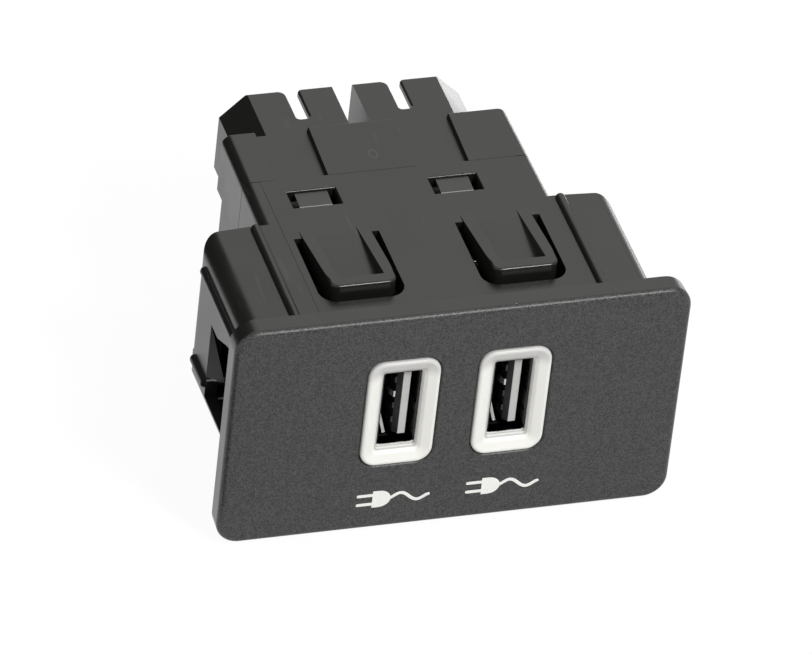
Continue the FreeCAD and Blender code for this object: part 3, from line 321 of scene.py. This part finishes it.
def milky_plastic():
    """White light guide, slightly warm and smooth: a little light passes in. It carries painted shade in a
    line at the opening's lip and across its top, and is nearly black from just behind its face.
    """
    material, tree, shader = new_material("light_guide_white")
    where = tree.place()
    parts = tree.apart(where)
    cloud = tree.noise(where, 160.0)
    color = tree.mix(cloud, *GUIDE_WHITES)
    # Painted shade: a grey line at the opening's lip, and a greyer top.
    color = tree.mix(tree.band(parts["Y"], *GUIDE_LIP_Y), color, GUIDE_LIP_SHADE_GREY)
    color = tree.mix(tree.ramp(parts["Z"], *GUIDE_TOP_Z), color, GUIDE_TOP_SHADE_GREY)
    # Nearly black from just behind the face inwards.
    color = tree.mix(tree.ramp(parts["Y"], *GUIDE_BEHIND_Y), color, GUIDE_BEHIND_GREY)
    soft = tree.add("ShaderNodeBevel", {"Radius": GUIDE_SOFT_EDGE}, samples=6)
    join(tree, shader, color=color, rough=tree.ramp(cloud, *NOISE_RANGE, 0.36, 0.44),
         normal=tree.bump(tree.noise(where, 1500.0), TINY_BUMP, 1.0, soft.outputs[0]))
    shader.inputs["Subsurface Weight"].default_value = GUIDE_DEPTH_WEIGHT
    shader.inputs["Subsurface Radius"].default_value = GUIDE_DEPTHS
    shader.inputs["Subsurface Scale"].default_value = 1.0
    return material


def plain_plastic(name, color_a, color_b, rough, grain=0.000004):
    """Even plastic, resin or ceramic with a faint cloud and a fine texture."""
    material, tree, shader = new_material(name)
    where = tree.place()
    cloud = tree.noise(where, 400.0, 3.0)
    join(tree, shader, color=tree.mix(cloud, color_a, color_b),
         rough=tree.ramp(cloud, *NOISE_RANGE, rough - 0.05, rough + 0.05),
         normal=tree.bump(tree.noise(where, 4000.0), grain))
    return material


def finish_metal(tree, shader, color, where, along, rough):
    """Bare metal with fine lines along one direction."""
    lines = tree.noise(tree.stretched(where, along), 1.0, 3.0, 0.6)
    join(tree, shader, color=color, rough=tree.ramp(lines, *NOISE_RANGE, rough - 0.06, rough + 0.08),
         normal=tree.bump(lines, TINY_BUMP))
    shader.inputs["Metallic"].default_value = 1.0


def drawn_metal(name, color_a, color_b, rough, along):
    """Rolled or drawn metal of one colour."""
    material, tree, shader = new_material(name)
    where = tree.place()
    color = tree.mix(tree.noise(where, 500.0), color_a, color_b)
    finish_metal(tree, shader, color, where, along, rough)
    return material


def shell_painted_light(tree, parts):
    """Painted light and shade on the shell: painted shade at its front edge and deep inside, painted
    highlights on its lower lip and blade.
    """
    # Painted shade at the front edge and depths, painted highlights on the lower lip and blade.
    low = tree.ramp(parts["Z"], *BLADE_LOW_Z)
    high = tree.ramp(parts["Z"], *BLADE_HIGH_Z, 1.0, 0.2)
    inside = tree.math("MULTIPLY", tree.ramp(parts["Y"], *SHELL_FRONT_Y), tree.math("MULTIPLY", low, high))
    lower = tree.ramp(parts["Z"], *SHELL_LIP_Z, 2.0, 0.0)
    edge = tree.math("MULTIPLY", lower, tree.ramp(parts["Y"], *SHELL_FRONT_Y, 1.0, 0.0))
    least = tree.ramp(parts["Z"], *BLADE_LOW_Z, 0.03, 0.12)
    return tree.math("ADD", tree.math("MAXIMUM", inside, edge), least)


def contact_painted_glint(tree, parts):
    """Painted light: one contact carries a painted glint, the others are painted dark as shade."""
    # Painted glint on one contact, painted shade on the rest.
    away = tree.math("ABSOLUTE", tree.math("SUBTRACT", parts["Z"], GLINT_CONTACT_Z))
    return tree.ramp(away, *GLINT_CONTACT_AWAY, 1.0, 0.08)


def port_metal(name, light, level, rough, along):
    """Drawn metal with painted light and shade that change with the place in the port."""
    material, tree, shader = new_material(name)
    where = tree.place()
    cloud = tree.ramp(tree.noise(where, 500.0), *NOISE_RANGE, 0.88 * level, 1.1 * level)
    value = tree.math("MULTIPLY", light(tree, tree.apart(where)), cloud)
    color = tree.add("ShaderNodeCombineColor", {"Red": value, "Green": value, "Blue": value})
    finish_metal(tree, shader, color.outputs[0], where, along, rough)
    return material


# The circuit board's colours.
BOARD_GREEN = (0.012, 0.085, 0.035, 1)
TRACK_GREEN = (0.03, 0.17, 0.07, 1)
VIA_TIN = (0.62, 0.6, 0.55, 1)


def board_laminate():
    """Green resist with tracks under it and small tinned vias."""
    material, tree, shader = new_material("board_green")
    flat = tree.stretched(tree.place(), (1.0, 1.0, 0.02))
    bands = tree.add("ShaderNodeTexWave", {
        "Vector": flat, "Scale": 260.0, "Distortion": 3.0, "Detail": 0.0, "Detail Scale": 0.5},
        bands_direction="DIAGONAL")
    region = tree.ramp(tree.noise(flat, 110.0, 0.0), 0.48, 0.52)
    track = tree.math("MULTIPLY", tree.ramp(bands.outputs["Fac"], 0.62, 0.7), region)
    color = tree.mix(track, BOARD_GREEN, TRACK_GREEN)
    dots = tree.add("ShaderNodeTexVoronoi", {"Vector": flat, "Scale": 330.0, "Randomness": 0.7})
    via = tree.ramp(dots.outputs["Distance"], 0.09, 0.11, 1.0, 0.0)
    color = tree.mix(via, color, VIA_TIN)
    join(tree, shader, color=color, metal=via, rough=tree.ramp(track, 0.0, 1.0, 0.32, 0.26),
         normal=tree.bump(track, 0.00002))
    return material


def port_plastic():
    """Black moulding with a painted highlight on the tongue's front edge."""
    material, tree, shader = new_material("tongue_black")
    where = tree.place()
    cloud = tree.noise(where, 900.0)
    # Painted highlight: the tongue's front edge is painted pale.
    edge = tree.ramp(tree.apart(where)["Y"], *TONGUE_HIGHLIGHT_Y, 1.0, 0.0)
    dark = tree.mix(cloud, grey(0.020), grey(0.028))
    pale = tree.mix(cloud, grey(0.50, 0.01), grey(0.58, 0.01))
    join(tree, shader, color=tree.mix(edge, dark, pale), rough=tree.ramp(cloud, *NOISE_RANGE, 0.3, 0.4),
         normal=tree.bump(tree.noise(where, 3500.0), TINY_BUMP))
    shader.inputs["Specular IOR Level"].default_value = 0.2
    return material


def printed_white():
    """White printing ink."""
    material, tree, shader = new_material("mark_white")
    speck = tree.noise(tree.place(), 3000.0)
    join(tree, shader, color=tree.mix(speck, (0.90, 0.90, 0.88, 1), (0.95, 0.95, 0.93, 1)),
         rough=tree.ramp(speck, *NOISE_RANGE, 0.45, 0.55), normal=tree.bump(speck, 0.00001))
    return material


# The finish of each material slot in the record, and the ink of the printed marks.
MATERIALS = {
    "housing_plastic": black_plastic("housing_black", True),
    "cover_plastic": black_plastic("cover_black", False),
    "light_guide": milky_plastic(),
    # The shell and the contacts carry painted light and shade.
    "shell_steel": port_metal("shell_bright", shell_painted_light, 0.38, 0.3, (5000, 220, 5000)),
    "tongue_plastic": port_plastic(),
    "contact_metal": port_metal("contact_glint_painted", contact_painted_glint, 0.60, 0.24, (3000, 200, 3000)),
    "board": board_laminate(),
    "chip_resin": plain_plastic("resin_black", grey(0.018), grey(0.026), 0.6, 0.00001),
    "core_ferrite": plain_plastic("ferrite_grey", grey(0.06), grey(0.085), 0.7, 0.00002),
    "can_aluminium": drawn_metal("can_bright", grey(0.72), grey(0.79), 0.2, (400, 400, 4000)),
    "ceramic_body": plain_plastic("ceramic_tan", (0.40, 0.29, 0.17, 1), (0.48, 0.36, 0.22, 1), 0.4),
    "crystal_lid": drawn_metal("lid_bright", grey(0.64), grey(0.72), 0.24, (300, 3000, 3000)),
    "lamp_lens": plain_plastic("lens_yellow", (0.82, 0.78, 0.42, 1), (0.88, 0.84, 0.52, 1), 0.15),
    "insulator_plastic": plain_plastic("header_black", grey(0.02), grey(0.028), 0.5),
    "pin_metal": drawn_metal("pin_bright", grey(0.72, 0.03), grey(0.80, 0.03), 0.2, (4000, 250, 4000)),
}
MARK_INK = printed_white()


def dress_nodes():
    """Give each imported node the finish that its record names."""
    slots = {part["node"]: part["material_slot"] for part in frame["record"]["subparts"]}
    for name, slot in slots.items():
        node = frame["nodes"][name]
        node.data.materials.clear()
        node.data.materials.append(MATERIALS[slot])


# The printed marks. Sizes and places are in millimetres, measured from the mark's middle.
MARK_PLACES = {"port_mark_left": (-7.9, -13.3), "port_mark_right": (8.13, -13.07)}
MARK_FRONT = -3.515
MARK_BACK = -3.48
MARK_LAYER = 0.004
MARK_LINE = 0.5
PLUG_REAR = -2.9
PLUG_HALF = 1.45
PLUG_BEND = -1.9
PLUG_NOSE = 1.7
PLUG_STEPS = 12
PRONG_ENDS = (-5.0, -2.6)
PRONG_Z = 0.78
LEAD_START = -0.4
LEAD_LENGTH = 5.7
LEAD_SWING = 0.85
LEAD_STEPS = 24
CAP_STEPS = 8


def add_piece(name, bm, material):
    """Make an object from a mesh, and let it ride on the body."""
    mesh = bpy.data.meshes.new(name)
    bmesh.ops.recalc_face_normals(bm, faces=bm.faces)
    bm.to_mesh(mesh)
    bm.free()
    mesh.materials.append(material)
    piece = bpy.data.objects.new(name, mesh)
    scene.collection.objects.link(piece)
    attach(piece, "root")


def outline_block(bm, points, front, back):
    """A thin printed shape: a closed outline in X and Z, between two depths in Y."""
    near = [bm.verts.new((x, front, z)) for x, z in points]
    far = [bm.verts.new((x, back, z)) for x, z in points]
    bm.faces.new(near)
    bm.faces.new(far)
    for i in range(len(points)):
        j = (i + 1) % len(points)
        bm.faces.new((near[i], near[j], far[j], far[i]))


def stroke(points, width):
    """The outline of a line of even width through points, with round ends."""
    left, right = [], []
    half = width / 2
    last = len(points) - 1
    for i, point in enumerate(points):
        ahead = Vector(points[min(i + 1, last)]) - Vector(points[max(i - 1, 0)])
        side = Vector((-ahead.y, ahead.x)).normalized() * half
        left.append(Vector(point) + side)
        right.append(Vector(point) - side)

    def cap(centre, start):
        """The half circle round an end, from one side of the line to the other."""
        arm = start - Vector(centre)
        turned = []
        for k in range(1, CAP_STEPS):
            a = -math.pi * k / CAP_STEPS
            turned.append(Vector(centre) + Vector((arm.x * math.cos(a) - arm.y * math.sin(a),
                                                   arm.x * math.sin(a) + arm.y * math.cos(a))))
        return turned

    outline = left + cap(points[-1], left[-1]) + right[::-1] + cap(points[0], right[0])
    return [(p.x, p.y) for p in outline]


def plug_outline():
    """The plug's body: a flat rear and a round nose."""
    points = [(PLUG_REAR, PLUG_HALF), (PLUG_REAR, -PLUG_HALF)]
    for k in range(PLUG_STEPS + 1):
        a = -math.pi / 2 + math.pi * k / PLUG_STEPS
        points.append((PLUG_BEND + PLUG_NOSE * math.cos(a), PLUG_HALF * math.sin(a)))
    return points


def lead_points():
    """The lead's middle line, one soft wave."""
    points = []
    for k in range(LEAD_STEPS + 1):
        t = k / LEAD_STEPS
        wave = LEAD_SWING * math.sin(2 * math.pi * t) * math.sin(math.pi * t) ** 0.5
        points.append((LEAD_START + LEAD_LENGTH * t, wave))
    return points


def plug_mark(name, centre_x, centre_z):
    """A plain white pictogram of a plug and its lead, printed under a port."""
    shapes = [plug_outline()]
    for z in (PRONG_Z, -PRONG_Z):
        shapes.append(stroke([(x, z) for x in PRONG_ENDS], MARK_LINE))
    shapes.append(stroke(lead_points(), MARK_LINE))
    bm = bmesh.new()
    for layer, points in enumerate(shapes):
        # Each shape lies a hair further out, so that no two faces share a plane.
        front = MARK_FRONT - MARK_LAYER * layer
        placed = [mm(centre_x + x, centre_z + z) for x, z in points]
        outline_block(bm, placed, front * MM, MARK_BACK * MM)
    add_piece(name, bm, MARK_INK)


# The stage and the lights.
FLOOR_Z = -18.6 * MM
FLOOR_HALF = 2.5
FLOOR_GREY = (0.5, 0.5, 0.5, 1)
FLOOR_GLOW = 1.09
FLOOR_GLOW_SHARE = 0.86
WHITE = (1, 1, 1, 1)

WORLD_LEVEL = 0.62
WORLD_COLOR = (1.0, 1.0, 0.96, 1)
BRIGHT_DIRECTION = (0.226, 0.558, 0.799)
BRIGHT_ANGLES = (16, 40)
BRIGHT_EXTRA = 0.62

KEY_DIRECTION = (0.28, -0.61, 0.74)
KEY_DISTANCE = 0.6
KEY_SIZE = 0.11
KEY_POWER = 2.2

# Each card's name, middle and facing, its width and height in millimetres, and its level.
CARDS = (
    ("flag_back_left", (-88, 100, 62), (0.5, -0.866, 0), 150, 165, 0.02),
    ("flag_front_left", (-72.5, -33, -18), (0, 0, 1), 75, 50, 0.05),
    ("bounce_back_right", (78, 118, -10), (-0.55, -0.83, 0), 90, 16, 4.4),
)


def seen_or_mirrored(tree):
    """1 for rays from the camera, a mirror or clear glass, 0 for others."""
    path = tree.add("ShaderNodeLightPath")
    near = tree.math("MAXIMUM", path.outputs["Is Camera Ray"], path.outputs["Is Glossy Ray"])
    return tree.math("MAXIMUM", near, path.outputs["Is Transmission Ray"])


def make_floor():
    """A plain pale floor that keeps a soft shadow."""
    bm = bmesh.new()
    bmesh.ops.create_grid(bm, x_segments=8, y_segments=8, size=FLOOR_HALF)
    mesh = bpy.data.meshes.new("floor")
    bm.to_mesh(mesh)
    bm.free()
    floor = bpy.data.objects.new("floor", mesh)
    floor.location = (0, 0, FLOOR_Z)
    scene.collection.objects.link(floor)
    material = bpy.data.materials.new("floor_pale")
    material.use_nodes = True
    tree = Tree(material.node_tree)
    matt = tree.add("ShaderNodeBsdfDiffuse", {"Color": FLOOR_GREY})
    glow = tree.add("ShaderNodeEmission", {"Color": WHITE, "Strength": FLOOR_GLOW})
    share = tree.math("MULTIPLY", seen_or_mirrored(tree), FLOOR_GLOW_SHARE)
    both = tree.add("ShaderNodeMixShader", {0: share, 1: matt.outputs[0], 2: glow.outputs[0]})
    tree.add("ShaderNodeOutputMaterial", {"Surface": both.outputs[0]})
    mesh.materials.append(material)


def make_world():
    """Even pale surroundings, brighter high behind the object, and plain white for the camera."""
    world = bpy.data.worlds.new("studio")
    scene.world = world
    world.use_nodes = True
    tree = Tree(world.node_tree)
    path = tree.add("ShaderNodeLightPath")
    way = tree.add("ShaderNodeTexCoord").outputs["Generated"]
    unit = Vector(BRIGHT_DIRECTION).normalized()
    dot = tree.add("ShaderNodeVectorMath", {0: way, 1: tuple(unit)}, operation="DOT_PRODUCT")
    high, low = (math.cos(math.radians(angle)) for angle in BRIGHT_ANGLES)
    extra = tree.ramp(dot.outputs["Value"], low, high, 0.0, BRIGHT_EXTRA)
    level = tree.math("ADD", extra, WORLD_LEVEL)
    lit = tree.add("ShaderNodeBackground", {"Color": WORLD_COLOR, "Strength": level})
    plain = tree.add("ShaderNodeBackground", {"Color": WHITE, "Strength": 1.0})
    both = tree.add("ShaderNodeMixShader", {
        0: path.outputs["Is Camera Ray"], 1: lit.outputs[0], 2: plain.outputs[0]})
    tree.add("ShaderNodeOutputWorld", {"Surface": both.outputs[0]})


def make_card(name, middle, facing, width, height, level):
    """A dark or bright card beside the set that only shows in glossy reflections."""
    bm = bmesh.new()
    x, y = width / 2 * MM, height / 2 * MM
    corners = [(-x, -y), (x, -y), (x, y), (-x, y)]
    bm.faces.new([bm.verts.new((corner_x, corner_y, 0)) for corner_x, corner_y in corners])
    mesh = bpy.data.meshes.new(name)
    bm.to_mesh(mesh)
    bm.free()
    card = bpy.data.objects.new(name, mesh)
    card.location = Vector(middle) * MM
    card.rotation_euler = Vector(facing).to_track_quat("Z", "Y").to_euler()
    scene.collection.objects.link(card)
    card.visible_camera = False
    card.visible_diffuse = False
    card.visible_transmission = False
    card.visible_shadow = False
    material = bpy.data.materials.new(name)
    material.use_nodes = True
    tree = Tree(material.node_tree)
    glow = tree.add("ShaderNodeEmission", {"Color": WHITE, "Strength": level})
    tree.add("ShaderNodeOutputMaterial", {"Surface": glow.outputs[0]})
    mesh.materials.append(material)


def make_key():
    """A square soft lamp above the user's right shoulder that looks at the object's middle."""
    data = bpy.data.lights.new("key", "AREA")
    data.shape = "SQUARE"
    data.size = KEY_SIZE
    data.energy = KEY_POWER
    lamp = bpy.data.objects.new("key", data)
    unit = Vector(KEY_DIRECTION).normalized()
    lamp.location = unit * KEY_DISTANCE
    lamp.rotation_euler = unit.to_track_quat("Z", "Y").to_euler()
    scene.collection.objects.link(lamp)


make_camera()
dress_nodes()
for mark_name, mark_place in MARK_PLACES.items():
    plug_mark(mark_name, *mark_place)
make_floor()
make_world()
for card in CARDS:
    make_card(*card)
make_key()

scene.view_settings.view_transform = "Standard"
